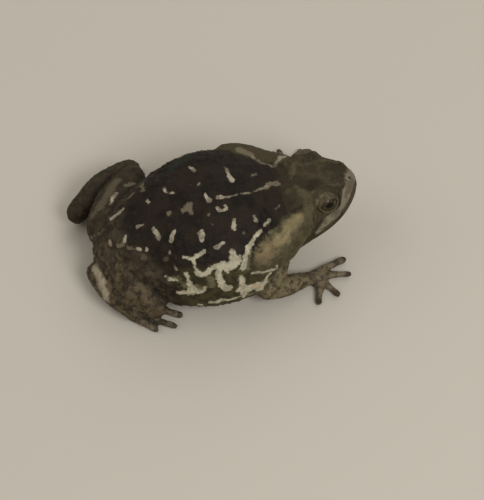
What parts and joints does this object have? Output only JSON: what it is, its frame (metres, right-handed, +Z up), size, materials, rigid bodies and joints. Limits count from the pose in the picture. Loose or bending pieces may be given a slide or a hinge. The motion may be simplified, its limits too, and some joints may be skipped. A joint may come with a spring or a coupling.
{
  "type": "cururu toad",
  "caption": "Life-size still model of a stout warty toad sitting low, head raised, with a large gland behind each eye, folded hind legs and spread toes.",
  "frame": {"origin": "middle of the underside of the bounding box, on the floor the toad sits on", "axes": "+X from the vent to the snout, +Y to the toad's left, +Z up"},
  "size_m": [0.1606, 0.1166, 0.0616],
  "materials": {
    "dorsal_skin": "dark brown warty skin, dull with a slight sheen",
    "head_skin": "olive brown, finely granular",
    "gland_skin": "tan, pitted with pores",
    "limb_skin": "mottled brown and olive, granular",
    "eye": "dark and wet, fine golden flecks"
  },
  "bodies": {
    "root": {"torso": "dorsal_skin", "head": "head_skin", "eye_left": "eye", "eye_right": "eye", "parotoid_left": "gland_skin", "parotoid_right": "gland_skin", "upper_arm_left": "limb_skin", "upper_arm_right": "limb_skin", "forearm_left": "limb_skin", "forearm_right": "limb_skin", "hand_left": "limb_skin", "hand_right": "limb_skin", "thigh_left": "limb_skin", "thigh_right": "limb_skin", "shank_left": "limb_skin", "shank_right": "limb_skin", "foot_left": "limb_skin", "foot_right": "limb_skin"}
  },
  "joints": []
}
